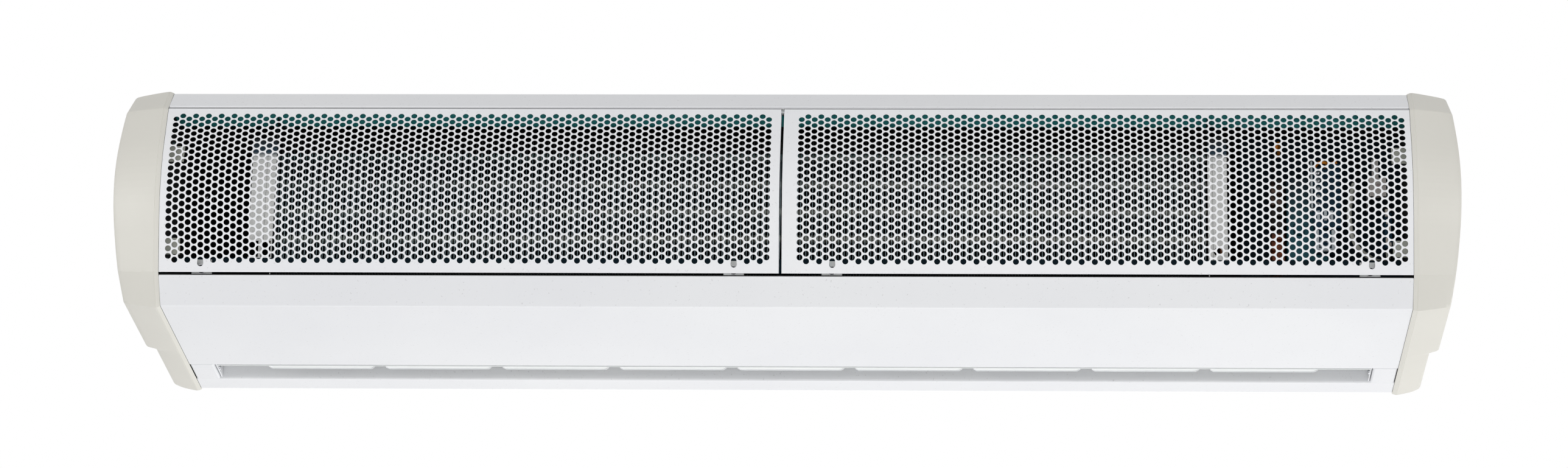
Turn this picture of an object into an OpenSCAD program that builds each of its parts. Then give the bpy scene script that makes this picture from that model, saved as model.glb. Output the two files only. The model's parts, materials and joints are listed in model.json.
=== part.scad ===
// Heated air curtain: a long sheet-metal body with moulded end caps, two perforated intake
// panels, a finned heater bank, a cross-flow fan and an outlet slot in the flat underside.
// X runs along the length, the front faces -Y, the wall is at +Y, and Z = 0 is the lowest rim.

/* [Body] */
// Length of the painted body between the end caps
body_len = 1329; // [1320:1:1400]
// Depth from the front of the end caps to the wall
depth = 334; // [332:1:340]
// Height of the painted body, underside to top
body_h = 244; // [242:1:248]
// Thickness of the painted sheet
sheet_t = 1.5; // [1.2:0.1:1.6]
// Outside radius of the sheet's bends
bend_r = 2.5; // [2:0.1:3]

/* [End caps] */
// How far the caps stand proud of the painted sheet
cap_proud = 2; // [1.8:0.1:2.4]
// Width of a cap in front of its step
cap_w = 51.5; // [48:0.5:54]
// Width of a cap behind its step
cap_w_rear = 32.5; // [28:0.5:34]
// Place of the step behind the middle of the depth
cap_step_y = 34; // [20:1:60]
// Wall of a cap
cap_wall = 2.5; // [2:0.1:3]

/* [Intake grilles] */
// Radius of the curved middle of a grille
grille_r = 166; // [160:1:172]
// Lean of the flat stretches above and below the curve
grille_lean = 17; // [16:0.5:18]
// Length of the lower flat stretch
lower_flat = 49.5; // [48:0.5:51]
// Length of the upper flat stretch
upper_flat = 43; // [42:0.5:44]
// Height of the middle of the curve
grille_mid_z = 128.1; // [127.8:0.1:128.5]
// Thickness of the perforated sheet
grille_t = 1.2; // [1:0.1:1.5]
// Diameter of an opening, three times that of the real sheet's 6 mm holes
hole_d = 18; // [12:0.5:19]
// Distance between openings, three times the real sheet's 8 mm
hole_pitch = 24; // [23:0.5:25]
// Centre of the seam between the two grilles
seam_x = -2.6; // [-4:0.1:4]
// Width of that seam
seam_w = 3; // [2.8:0.1:4]

/* [Outlet] */
// Front edge of the slot, behind the middle of the depth
slot_front_y = 81; // [80:0.5:83]
// Width of the slot from front to back
slot_w = 49; // [48.5:0.5:50]
// Half of the slot's length
slot_half = 638; // [636:1:640]
// Number of tabs along the front wall of the nozzle
tab_n = 9; // [5:1:9]
// Distance between the tabs
tab_pitch = 129.8; // [125:0.1:132]
// Length of a tab at its root
tab_w = 118; // [100:1:120]

/* [Heater] */
// Distance between the fins
fin_pitch = 7; // [7:0.5:14]
// Distance between the heater rods
rod_pitch = 31; // [30:0.5:32]
// Radius of a heater rod
rod_r = 4.25; // [4:0.05:4.4]

/* [Fan] */
// Outer radius of the rotor's discs
rotor_r = 52.5; // [50:0.5:53]
// Number of blades
blade_n = 30; // [20:1:36]
// Radius of the shafts
shaft_r = 4; // [3.5:0.1:4]
// Gap round a shaft in its bearing
running_gap = 0.05; // [0.03:0.01:0.08]

/* [Mounts] */
// Distance between the wall holes along the length
wall_hole_dx = 1000; // [800:10:1040]
// Distance between the wall holes in height
wall_hole_dz = 140; // [100:5:150]
// Radius of a wall hole
wall_hole_r = 4.5; // [4:0.1:5.5]
// Distance between the hanging inserts along the length
insert_dx = 1100; // [1000:10:1100]
// Distance between the hanging inserts from front to back
insert_dy = 160; // [140:5:170]

/* [Hidden] */
$fn = 48;

// Body frame
half = body_len / 2;
y_front = -depth / 2 + cap_proud;
y_wall = depth / 2;
z_under = cap_proud;
z_top = z_under + body_h;
strip_top = [-117, z_top];
fold_under = [-120, z_under];
seam_gap = 2;
plate_t = 1.2;
inner_top = z_top - sheet_t;
inner_under = z_under + sheet_t;

// Intake grille
arc_y = y_front + grille_r;
up_flat = [sin(grille_lean), cos(grille_lean)];
down_flat = [sin(grille_lean), -cos(grille_lean)];
arc_len = grille_r * 2 * grille_lean * PI / 180;
fascia_top = grille_bottom() + seam_gap * down_flat;
strip_low = [grille_top()[0] + 0.3, grille_top()[1] + 1.2];
grille_end_gap = 0.6;
grille_flange = 10;
pin_r = 1.5;
pin_seat = [2.2, 3];
pivot = grille_top() - pin_seat[0] * up_flat + pin_seat[1] * [up_flat[1], -up_flat[0]];
catch_x = [52, 619];
catch_hole = [7.3, 10.3];
catch_hole_s = 10;
catch_depth = 5.2;
magnet_r = 5;
magnet_s = 3.2;
first_row_s = 26;
bracket_z = [[54.5, 71], [155, 174.5]];
bracket_w = 20.6;

// Outlet
slot_rear_y = slot_front_y + slot_w;
cheek_x = 635.5;
guide_y = slot_front_y + 9;
tab_reach = 7;

// Heater
heater_x = [-552, 452];
heater_y = -73;
heater_z = [50, 200];
rod_z0 = 65;
rod_n = 5;
fin_n = floor((heater_x[1] - heater_x[0] - 14) / fin_pitch) + 1;
fin_t = 0.5;
bulkhead_y = [-102, -20];
flange_z = [[60, 200], [61, 203]];
rail_half = 655;
baffle_z = 226;

// Fan, on the axis fan_c along X
fan_c = [60, 130];
fan_x = [-563.8, 583];
rotor_x = [-555, 575];
disc_n = 8;
scroll_r = [76, 60];
hub_r = 14;
motor_x = [-645, -573];
motor_r = 48;
mount_circle = 43;

// Electrics
board_y = -22;
case_y = -60;
front_y = -72;
reset_at = [635.5, 158];
grommet = [625, 120];

// ---- Helpers ----

function unit(v) = v / norm(v);
function left_of(v) = [-v[1], v[0]];
function reversed(p) = [for (i = [len(p) - 1:-1:0]) p[i]];

// The other face of a strip of sheet, t to the left of the path
function offset_path(p, t) = [for (i = [0:len(p) - 1])
    let (last = len(p) - 1,
         a = left_of(unit(i == 0 ? p[1] - p[0] : p[i] - p[i - 1])),
         b = left_of(unit(i == last ? p[last] - p[last - 1] : p[i + 1] - p[i])))
    p[i] + t * (a + b) / (1 + a * b)];

// A closed counter-clockwise outline moved inwards by d
function inset(p, d) = [for (i = [0:len(p) - 1])
    let (n = len(p),
         a = left_of(unit(p[i] - p[(i + n - 1) % n])),
         b = left_of(unit(p[(i + 1) % n] - p[i])))
    p[i] + d * (a + b) / (1 + a * b)];

// One bend of radius r at p1
function bend(p0, p1, p2, r) =
    let (back = unit(p0 - p1), ahead = unit(p2 - p1), turn = 180 - acos(back * ahead),
         side = sign(cross(p1 - p0, p2 - p1)), start = p1 + back * r * tan(turn / 2),
         centre = start - side * r * left_of(back), arm = start - centre, steps = 4)
    [for (k = [0:steps]) let (a = side * turn * k / steps)
        centre + [arm[0] * cos(a) - arm[1] * sin(a), arm[0] * sin(a) + arm[1] * cos(a)]];

// A path with every inner corner bent to radius r
function bent(p, r) = concat([p[0]],
    [for (i = [1:len(p) - 2]) each bend(p[i - 1], p[i], p[i + 1], r)], [p[len(p) - 1]]);

// The grille's line in the side view, top to bottom, moved inwards by d
function arc_pt(a, r) = [arc_y - r * cos(a), grille_mid_z + r * sin(a)];
function grille_top(d = 0) = arc_pt(grille_lean, grille_r - d) + upper_flat * up_flat;
function grille_bottom(d = 0) = arc_pt(-grille_lean, grille_r - d) + lower_flat * down_flat;
function grille_line(d = 0, steps = 20) = concat([grille_top(d)],
    [for (k = [0:steps]) arc_pt(grille_lean * (1 - 2 * k / steps), grille_r - d)],
    [grille_bottom(d)]);

// Tilt and place on the grille at arc distance s above its lower edge
function tilt_at(s) = max(-grille_lean,
    min(grille_lean, -grille_lean + (s - lower_flat) / grille_r * 180 / PI));
function place_at(s) =
    s < lower_flat ? grille_bottom() - s * down_flat
    : s < lower_flat + arc_len ? arc_pt(tilt_at(s), grille_r)
    : arc_pt(grille_lean, grille_r) + (s - lower_flat - arc_len) * up_flat;

// Outline of the painted body in the side view, with its rear at y
function body_outline(y) = concat([[y, z_top], strip_top],
    grille_line(), [fold_under, [y, z_under]]);

// A flat shape in the side view, run along X from x0 to x1
module run_x(x0, x1) translate([x0, 0, 0]) rotate([90, 0, 90]) linear_extrude(x1 - x0) children();
// A flat shape in the front view, run along Y from y0 to y1
module run_y(y0, y1) translate([0, y1, 0]) rotate([90, 0, 0]) linear_extrude(y1 - y0) children();
module strip(path, t) polygon(concat(path, reversed(offset_path(path, t))));
module box(low, high) translate(low) cube(high - low);
module rod_x(x0, x1, r, at = fan_c) translate([x0, at[0], at[1]]) rotate([0, 90, 0])
    cylinder(h = x1 - x0, r = r);
module rod_y(y0, y1, r, at) translate([at[0], y1, at[1]]) rotate([90, 0, 0])
    cylinder(h = y1 - y0, r = r);
module on_grille(x, s) translate([x, place_at(s)[0], place_at(s)[1]])
    rotate([-tilt_at(s), 0, 0]) rotate([-90, 0, 0]) children();
module both_ends() {
    children();
    mirror([1, 0, 0]) children();
}

// ---- Housing ----

module rear_chassis() color("gainsboro") difference() {
    box([-half, y_wall - sheet_t, inner_under], [half, y_wall, inner_top]);
    for (sx = [-1, 1], sz = [-1, 1])
        rod_y(y_wall - 5, y_wall + 5, wall_hole_r,
            [sx * wall_hole_dx / 2, 130 + sz * wall_hole_dz / 2]);
}

module top_cover() color("whitesmoke") difference() {
    run_x(-half, half) strip(bent([[y_wall - sheet_t, z_top - 16], [y_wall - sheet_t, z_top],
        strip_top, strip_low, [strip_low[0] + 14, strip_low[1]]], bend_r), sheet_t);
    for (at = insert_places()) translate([at[0], at[1], z_top - 5]) cylinder(h = 10, r = 5.6);
    translate([grommet[0], grommet[1], z_top - 5]) cylinder(h = 10, r = 14);
}

module bottom_panel() color("whitesmoke")
    run_x(-half, half) strip(bent([fascia_top + 14 * [cos(grille_lean), sin(grille_lean)],
        fascia_top, fold_under, [slot_front_y, z_under], [slot_front_y, z_under + 14]],
        bend_r), sheet_t);

module outlet_lip() color("whitesmoke")
    run_x(-half, half) strip(bent([[slot_rear_y, z_under + 16], [slot_rear_y, z_under],
        [y_wall - sheet_t, z_under], [y_wall - sheet_t, z_under + 12]], bend_r), sheet_t);

module outlet_ends() color("whitesmoke") both_ends()
    run_y(slot_front_y, slot_rear_y) strip(bent([[slot_half, z_under + 14],
        [slot_half, z_under], [half, z_under], [half, z_under + 14]], bend_r), sheet_t);

cap_screw_places = [[-105, 190], [-100, 60], [125, 215], [125, 40]];

module side_plate_right() color("silver") difference() {
    run_x(half, half + sheet_t) intersection() {
        polygon(inset(body_outline(y_wall + 20), 0.8));
        translate([-depth, 0]) square([depth + y_wall - cap_wall - 0.5, z_top]);
    }
    for (at = cap_screw_places) rod_x(half - 1, half + 4, 2.3, at);
    rod_x(half - 1, half + 4, pin_r + running_gap, pivot);
}

module side_plate_left() mirror([1, 0, 0]) side_plate_right();

// One cross-section of a cap, x beyond the body's end and moved inwards by d
module cap_slice(x, d, y_max = y_wall, z_min = 0, z_max = 300)
    run_x(half + x, half + x + 0.02) intersection() {
        polygon(inset(body_outline(y_wall + 80), d - cap_proud));
        translate([-depth, z_min]) square([depth + y_max, z_max - z_min]);
    }

// The crowned form of a cap, smaller all round by w
module cap_form(w) {
    hull() {
        cap_slice(0, w, cap_step_y - w);
        cap_slice(5, w, cap_step_y - w);
        cap_slice(cap_w * 0.69 - w, 4 + w, cap_step_y - w);
        cap_slice(cap_w * 0.86 - w, 7.5 + w, cap_step_y - w, 16, 240);
        cap_slice(cap_w - 2 - w, 13 + w, cap_step_y - w, 66, 204);
        cap_slice(cap_w - w, 21 + w, cap_step_y - w, 104, 166);
    }
    hull() {
        cap_slice(0, w, y_wall - w);
        cap_slice(5, w, y_wall - w);
        cap_slice(cap_w_rear - 5 - w, 4 + w, y_wall - w);
        cap_slice(cap_w_rear - w, 8 + w, y_wall - w, 20, 232);
    }
}

module end_cap_right() color("ivory") difference() {
    cap_form(0);
    difference() {
        translate([-0.02, 0, 0]) cap_form(cap_wall);
        for (at = cap_screw_places) rod_x(half + sheet_t, half + 60, 5, at);
    }
    for (at = cap_screw_places) rod_x(half, half + 16, 2.1, at);
}

module end_cap_left() mirror([1, 0, 0]) end_cap_right();

// Screws through the side plates, and the two at the ends of the slot
module body_screws() color("lightgray") {
    both_ends() {
        for (at = cap_screw_places) {
            rod_x(half - 2.4, half, 4, at);
            rod_x(half, half + 14, 2, at);
        }
        rod_x(cheek_x - 2, cheek_x, 2.6, [105.5, 6.8]);
    }
}

module top_baffle() color("darkslategray")
    run_x(-half, half) strip([[-128, baffle_z], [-75, baffle_z], [-75, baffle_z + 16]], -plate_t);

// Tabs just behind the outer corners of the grilles, standing on the side plates
module panel_brackets() color("silver") both_ends()
    for (z = bracket_z) run_x(half - bracket_w, half)
        intersection() {
            polygon(concat(grille_line(12.5), reversed(grille_line(14))));
            translate([-depth / 2, z[0]]) square([depth / 4, z[1] - z[0]]);
        }

// ---- Intake grilles ----

module long_hole(w, h) {
    square([w, h - w], center = true);
    for (side = [-1, 1]) translate([0, side * (h - w) / 2]) circle(d = w);
}

// Panel from x0 to x1, with folded ends; inner is the side of the middle seam
module grille_panel(x0, x1) color("white") difference() {
    union() {
        run_x(x0, x1) polygon(concat(grille_line(), reversed(grille_line(grille_t))));
        for (x = [x0, x1 - grille_t]) run_x(x, x + grille_t)
            polygon(concat(grille_line(), reversed(grille_line(grille_flange))));
    }
    columns = floor((x1 - x0 - 30) / (hole_pitch * sin(60)));
    first = (x0 + x1) / 2 - columns / 2 * hole_pitch * sin(60);
    for (c = [0:columns], r = [0:c % 2 == 0 ? 6 : 5])
        on_grille(first + c * hole_pitch * sin(60), first_row_s + hole_pitch * (r + (c % 2) / 2))
            translate([0, 0, -5]) cylinder(h = 10, r = hole_d / 2);
    for (x = catch_x, side = [-1, 1]) if (side * x > x0 && side * x < x1)
        on_grille(side * x, catch_hole_s) translate([0, 0, -5])
            linear_extrude(10) long_hole(catch_hole[0], catch_hole[1]);
}

module grille_left() grille_panel(-half + grille_end_gap, seam_x - seam_w / 2);
module grille_right() grille_panel(seam_x + seam_w / 2, half - grille_end_gap);

module hinge_pins_left() color("silver") {
    rod_x(-half - 3, -half + grille_end_gap, pin_r, pivot);
    rod_x(seam_x - seam_w / 2, seam_x - 0.2, pin_r, pivot);
}

module hinge_pins_right() color("silver") {
    rod_x(half - grille_end_gap, half + 3, pin_r, pivot);
    rod_x(seam_x + 0.2, seam_x + seam_w / 2, pin_r, pivot);
}

module hinge_bracket() color("silver") difference() {
    union() {
        rod_x(seam_x - 0.8, seam_x + 0.8, 2.7, pivot);
        run_x(seam_x - 0.8, seam_x + 0.8) polygon([pivot + [0, -2.6], [pivot[0], strip_low[1]],
            [pivot[0] + 10, strip_low[1]], [pivot[0] + 10, pivot[1]]]);
    }
    rod_x(seam_x - 2, seam_x + 2, pin_r + running_gap, pivot);
}

// Tabs standing on the fascia's shelf, seen through the long holes of the bottom row
module catch_tabs() color("silver") for (x = catch_x, side = [-1, 1])
    translate([side * x, fascia_top[0], fascia_top[1]]) rotate([grille_lean, 0, 0])
        box([-11, catch_depth, 0], [11, catch_depth + sheet_t, 15.5]);

// Round catch magnets on those tabs, which hold the steel panels shut
module catch_magnets() color("dimgray") for (x = catch_x, side = [-1, 1])
    on_grille(side * x, magnet_s) translate([0, 0, grille_t + 0.3]) difference() {
        cylinder(h = catch_depth - grille_t - 0.3, r = magnet_r);
        translate([0, 0, -1]) cylinder(h = 1.8, r = magnet_r - 1.2);
    }

// ---- Outlet ----

module outlet_guide() color("gainsboro") {
    run_x(-cheek_x, cheek_x) strip([[guide_y, 4], [guide_y, 50], [66, 66], [34, 78]], plate_t);
    for (i = [0:tab_n - 1]) translate([(i - (tab_n - 1) / 2) * tab_pitch, guide_y, 4])
        linear_extrude(plate_t) polygon([[-tab_w / 2, -0.5], [tab_w / 2, -0.5],
            [tab_w / 2 - 4, tab_reach], [-tab_w / 2 + 4, tab_reach]]);
}

module outlet_rear_wall() color("gainsboro")
    box([-cheek_x, slot_rear_y + sheet_t, z_under + bend_r + 0.5],
        [cheek_x, slot_rear_y + sheet_t + plate_t, 108]);

// The top edge steps down in front to stay clear of the motor
module outlet_cheek_right() color("whitesmoke")
    run_x(cheek_x, cheek_x + plate_t) polygon([[slot_front_y + 1, z_under + 2],
        [slot_rear_y - 0.5, z_under + 2], [slot_rear_y - 0.5, z_under + 20],
        [slot_rear_y + 6, z_under + 20], [slot_rear_y + 6, 108], [112, 108], [98, 92], [66, 77],
        [66, 60], [slot_front_y + 1, 50]]);

module outlet_cheek_left() mirror([1, 0, 0]) outlet_cheek_right();

// ---- Heater ----

function rod_place(i) = [heater_y, rod_z0 + i * rod_pitch];

// Web with its rod holes and the front flange, which runs outwards by w over the heights z
module bulkhead(x, side, w, z) color("lightgray") difference() {
    union() {
        run_x(x - plate_t / 2, x + plate_t / 2) polygon([[bulkhead_y[0], inner_under],
            [bulkhead_y[1], inner_under], [bulkhead_y[1], baffle_z - 14],
            [-76, baffle_z - 14], [-76, baffle_z - plate_t],
            [bulkhead_y[0], baffle_z - plate_t]]);
        box([side > 0 ? x : x - w, bulkhead_y[0], z[0]],
            [side > 0 ? x + w : x, bulkhead_y[0] + plate_t, z[1]]);
    }
    for (i = [0:rod_n - 1]) rod_x(x - 2, x + 2, rod_r + 0.25, rod_place(i));
}

// The left flange stands on a narrow foot
module heater_bulkhead_left() difference() {
    bulkhead(heater_x[0], -1, 25, flange_z[0]);
    for (x = [[-26, -14], [-11, -plate_t / 2]]) translate([heater_x[0], bulkhead_y[0], 0])
        box([x[0], -1, flange_z[0][0] + 4], [x[1], plate_t + 1, 82.5]);
}

module heater_bulkhead_right() difference() {
    bulkhead(heater_x[1], 1, 20, flange_z[1]);
    rod_y(bulkhead_y[0] - 1, bulkhead_y[0] + plate_t + 1, 4.6, [heater_x[1] + 9.5, 72.5]);
}

// Strip in front of the bulkheads' feet, its ends clear of the cap screws
module heater_rail() color("darkslategray")
    box([-rail_half, bulkhead_y[0] - plate_t, 46], [rail_half, bulkhead_y[0], 62.5]);

module heater_fins() color("slategray") for (i = [0:fin_n - 1])
    run_x(heater_x[0] + 7 + i * fin_pitch, heater_x[0] + 7 + i * fin_pitch + fin_t)
        difference() {
            translate([heater_y - 20, heater_z[0]]) square([40, heater_z[1] - heater_z[0]]);
            for (k = [0:rod_n - 1]) translate(rod_place(k)) circle(r = rod_r + 0.05);
        }

module heater_rod(i) color("silver")
    rod_x(heater_x[0] - 13, heater_x[1] + 13, rod_r, rod_place(i));
module heater_rod_1() heater_rod(0);
module heater_rod_2() heater_rod(1);
module heater_rod_3() heater_rod(2);
module heater_rod_4() heater_rod(3);
module heater_rod_5() heater_rod(4);

module heater_insulators() color("beige") for (i = [0:rod_n - 1])
    for (x = [heater_x[0] - plate_t / 2 - 9, heater_x[1] + plate_t / 2]) difference() {
        rod_x(x, x + 9, 7, rod_place(i));
        rod_x(x - 1, x + 10, rod_r + 0.05, rod_place(i));
    }

module heater_links() color("peru") {
    for (i = [0, 2]) box([heater_x[1] + 13, heater_y - 5, rod_place(i)[1] - 4],
        [heater_x[1] + 14.5, heater_y + 5, rod_place(i + 1)[1] + 4]);
    for (i = [1, 3]) box([heater_x[0] - 14.5, heater_y - 5, rod_place(i)[1] - 4],
        [heater_x[0] - 13, heater_y + 5, rod_place(i + 1)[1] + 4]);
}

// ---- Fan and motor ----

module scroll() color("silver") run_x(fan_x[0], fan_x[1])
    strip([for (a = [-15:7:125])
        fan_c + (scroll_r[0] + (scroll_r[1] - scroll_r[0]) * (a + 15) / 140)
            * [cos(a), sin(a)]], -plate_t);

module fan_plate(x, hole_r) color("silver") difference() {
    run_x(x, x + plate_t) polygon([[-14, 104], [34, 82], [67, 69], [91, 54],
        [slot_rear_y + 1, 54], [slot_rear_y + 1, 109.5], [y_wall - 3.2, 109.5],
        [y_wall - 3.2, inner_top - 1.5], [y_wall - 4.7, inner_top], [-14, inner_top]]);
    rod_x(x - 2, x + 4, hole_r);
}

module fan_plate_left() fan_plate(fan_x[0] - plate_t, 20);
module fan_plate_right() fan_plate(fan_x[1], 18.1);

// One forward-curved blade in the side view
function blade_edge(lag) = [for (k = [0:2]) let (r = 40 + 6 * k, a = lag / r * 180 / PI
    + 18 * pow(k / 2, 2)) r * [cos(a), sin(a)]];

module fan_rotor() color("dimgray") {
    run_x(rotor_x[0], rotor_x[1]) translate(fan_c) for (i = [0:blade_n - 1])
        rotate(i * 360 / blade_n) polygon(concat(blade_edge(0), reversed(blade_edge(1))));
    for (i = [0:disc_n]) let (x = rotor_x[0] + i * (rotor_x[1] - rotor_x[0] - 1.5) / disc_n)
        difference() {
            rod_x(x, x + 1.5, rotor_r);
            rod_x(x - 1, x + 3, i == 0 || i == disc_n ? hub_r + 0.05 : 38);
        }
}

module fan_hub() color("dimgray") difference() {
    union() {
        rod_x(rotor_x[0] - 7, rotor_x[0] + 1.5, hub_r);
        rod_x(rotor_x[0] - 1.5, rotor_x[0], 22);
    }
    rod_x(rotor_x[0] - 9, rotor_x[0] + 3, shaft_r + 0.02);
}

module fan_shaft() color("silver") {
    rod_x(rotor_x[1] - 1.5, rotor_x[1] + 1, hub_r);
    rod_x(rotor_x[1], rotor_x[1] + 1.5, 22);
    rod_x(rotor_x[1] + 1, fan_x[1] + 9, shaft_r);
}

module fan_bearing() color("goldenrod") difference() {
    rod_x(fan_x[1] - 2.5, fan_x[1] + 5.5, 10.95);
    rod_x(fan_x[1] - 4, fan_x[1] + 8, shaft_r + running_gap);
}

module bearing_bush() color("dimgray") difference() {
    union() {
        rod_x(fan_x[1] - 2, fan_x[1] + 5, 18);
        rod_x(fan_x[1] - 2, fan_x[1], 21);
        rod_x(fan_x[1] + plate_t, fan_x[1] + 5, 21);
    }
    rod_x(fan_x[1] - 4, fan_x[1] + 8, 11);
}

module motor_housing() color("silver") difference() {
    rod_x(motor_x[0], motor_x[1], motor_r);
    rod_x(motor_x[0] + 2, motor_x[1] - 2, motor_r - 2);
    rod_x(motor_x[0] - 2, motor_x[1] + 2, shaft_r + running_gap);
}

module motor_stator() color("peru") difference() {
    rod_x(motor_x[0] + 10, motor_x[1] - 14, motor_r - 2.05);
    rod_x(motor_x[0], motor_x[1], 30);
}

module motor_rotor() color("dimgray") difference() {
    rod_x(motor_x[0] + 12, motor_x[1] - 16, 29.4);
    rod_x(motor_x[0], motor_x[1], shaft_r + 0.02);
}

module motor_shaft() color("silver") rod_x(motor_x[0] + 0.5, rotor_x[0] + 1, shaft_r);

module motor_bracket() color("silver") difference() {
    rod_x(motor_x[1], motor_x[1] + 2, 50);
    rod_x(motor_x[1] - 1, motor_x[1] + 4, 12);
}

module motor_mounts() color("dimgray") for (a = [45:90:315])
    rod_x(motor_x[1] + 2, fan_x[0] - plate_t, 5, fan_c + mount_circle * [cos(a), sin(a)]);

// ---- Electrics ----

module electrics_plate() color("dimgray")
    box([490, board_y, inner_under], [half, board_y + sheet_t, 232]);

module contactor() color("darkslategray") difference() {
    box([537.5, case_y, 75], [581, board_y, 172]);
    box([545.4, case_y - 1, 106.4], [555.6, case_y + 14, 118.6]);
}

module contactor_slide() color("darkslategray")
    box([545.8, case_y - 2.5, 106.8], [555.2, case_y + 9, 118.2]);

module terminal_strip() color("saddlebrown") difference() {
    box([521, case_y - 6, 72], [534.5, board_y, 168]);
    for (z = [80:13:158]) box([520, case_y - 7, z], [536, case_y + 2, z + 7]);
}

// Terminal housing before the contactor, its metal side strip, the connector below it and the
// small one at the right
module terminal_block() color("white") difference() {
    union() {
        box([566, front_y, 112], [595, case_y, 180]);
        box([582, case_y, 112], [595, board_y, 180]);
        box([563, front_y - 2, 133], [565, case_y, 171]);
        box([567, front_y - 2, 84], [588, case_y, 108]);
        box([642, front_y + 6, 91], [650, board_y, 131]);
    }
    for (z = [139:8.8:175]) rod_y(front_y - 1, front_y + 4, 2.6, [571.2, z]);
    rod_y(front_y - 3, front_y + 4, 4, [577.5, 96]);
}

module capacitor() color("dimgray") difference() {
    rod_x(-half, -600, 17, [-5, 60]);
    rod_x(-602, -599, 12, [-5, 60]);
}

// Bracket with its upright strip, and the round cut-out behind it
module thermal_cutout() color("silver") difference() {
    union() {
        box([626, front_y, 147], [644, front_y + plate_t, 168]);
        box([629, front_y, 167], [636, front_y + plate_t, 189]);
        box([626, front_y, 147], [626 + plate_t, board_y, 168]);
        rod_y(front_y, front_y + 14, 8, reset_at);
    }
    rod_y(front_y - 1, front_y + 12, 2.7, reset_at);
}

module reset_button() color("rosybrown") rod_y(front_y - 3, front_y + 10, 2.4, reset_at);

// A round lead along a route of hand-chosen points, drawn with eight sides
function spline(p, n) = [for (i = [0:len(p) - 2], k = [0:n - 1]) let (t = k / n,
    a = p[max(i - 1, 0)], b = p[i], c = p[i + 1], d = p[min(i + 2, len(p) - 1)])
    0.5 * (2 * b + t * (c - a) + t * t * (2 * a - 5 * b + 4 * c - d)
        + t * t * t * (3 * b - a - 3 * c + d))];

module lead(route, r) {
    line = concat(spline(route, 4), [route[len(route) - 1]]);
    n = len(line);
    rings = [for (i = [0:n - 1]) let (along = unit(line[min(i + 1, n - 1)] - line[max(i - 1, 0)]),
        out = unit(cross(along, [0.3, 1, 0.2])), up = cross(along, out))
        for (k = [0:7]) line[i] + r * (out * cos(45 * k) + up * sin(45 * k))];
    sides = [for (i = [0:n - 2], k = [0:7]) let (m = (k + 1) % 8)
        [i * 8 + k, i * 8 + m, i * 8 + 8 + m, i * 8 + 8 + k]];
    polyhedron(rings, concat(sides, [[for (k = [7:-1:0]) k]],
        [[for (k = [0:7]) (n - 1) * 8 + k]]), convexity = 4);
}

module orange_leads() color("darkorange") {
    lead([[527.5, -44, 168.3], [527.5, -46, 176], [528.5, -62, 190], [529.5, -72, 204],
        [533, -66, 216], [540, -46, 222], [543, -32, 222], [543.5, board_y - 0.6, 222]], 1.8);
    lead([[569, -66, 180.5], [569, -66.2, 184], [573, -69, 188], [580, -69.5, 187.5],
        [585, -64, 185.5], [586, -54, 185], [584.5, -42, 187], [583.5, -32, 188],
        [583.5, board_y - 0.6, 188]], 1.6);
    lead([[591, -65, 180.5], [591, -65.2, 186], [589, -62, 197], [582, -48, 208], [577, -34, 211],
        [576.5, board_y - 0.6, 211]], 2);
}

module pale_lead() color("lightgray")
    lead([[646, -50, 90.6], [646, -50.3, 84], [641, -59, 77], [633, -68, 74], [624, -72, 77.5],
        [613, -72, 87], [606.5, -72, 101], [604, -72, 118], [604.2, -72, 131], [606.5, -72, 148],
        [610, -70, 163], [614, -64, 178], [613, -50, 194], [608, -36, 203],
        [607, -28, 204.5], [607, board_y - 0.6, 204.5]], 2.6);

// ---- Inlet and hanging inserts ----

module cable_grommet() color("dimgray") difference() {
    translate([grommet[0], grommet[1], 0]) {
        translate([0, 0, z_top]) cylinder(h = 1.8, r = 17);
        translate([0, 0, inner_top]) cylinder(h = sheet_t, r = 13.9);
        translate([0, 0, inner_top - 2]) cylinder(h = 2, r = 16);
    }
    translate([grommet[0], grommet[1], inner_top - 5]) cylinder(h = 12, r = 8);
}

function insert_places() = [for (sx = [-1, 1], sy = [-1, 1])
    [sx * insert_dx / 2, 30 + sy * insert_dy / 2]];

module mount_nuts() color("silver") for (at = insert_places()) translate([at[0], at[1], 0])
    difference() {
        union() {
            translate([0, 0, z_top - 12]) cylinder(h = 12, r = 5.5);
            translate([0, 0, z_top]) cylinder(h = 1, r = 7.5);
        }
        translate([0, 0, z_top - 13]) cylinder(h = 15, r = 3.4);
    }

rear_chassis();
top_cover();
bottom_panel();
outlet_lip();
outlet_ends();
side_plate_left();
side_plate_right();
end_cap_left();
end_cap_right();
body_screws();
top_baffle();
panel_brackets();
grille_left();
grille_right();
hinge_pins_left();
hinge_pins_right();
hinge_bracket();
catch_tabs();
catch_magnets();
outlet_guide();
outlet_rear_wall();
outlet_cheek_left();
outlet_cheek_right();
heater_bulkhead_left();
heater_bulkhead_right();
heater_rail();
heater_fins();
heater_rod_1();
heater_rod_2();
heater_rod_3();
heater_rod_4();
heater_rod_5();
heater_insulators();
heater_links();
scroll();
fan_plate_left();
fan_plate_right();
fan_rotor();
fan_hub();
fan_shaft();
fan_bearing();
bearing_bush();
motor_housing();
motor_stator();
motor_rotor();
motor_shaft();
motor_bracket();
motor_mounts();
electrics_plate();
contactor();
contactor_slide();
terminal_strip();
terminal_block();
capacitor();
thermal_cutout();
reset_button();
orange_leads();
pale_lead();
cable_grommet();
mount_nuts();
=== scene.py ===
import json
import math

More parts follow.
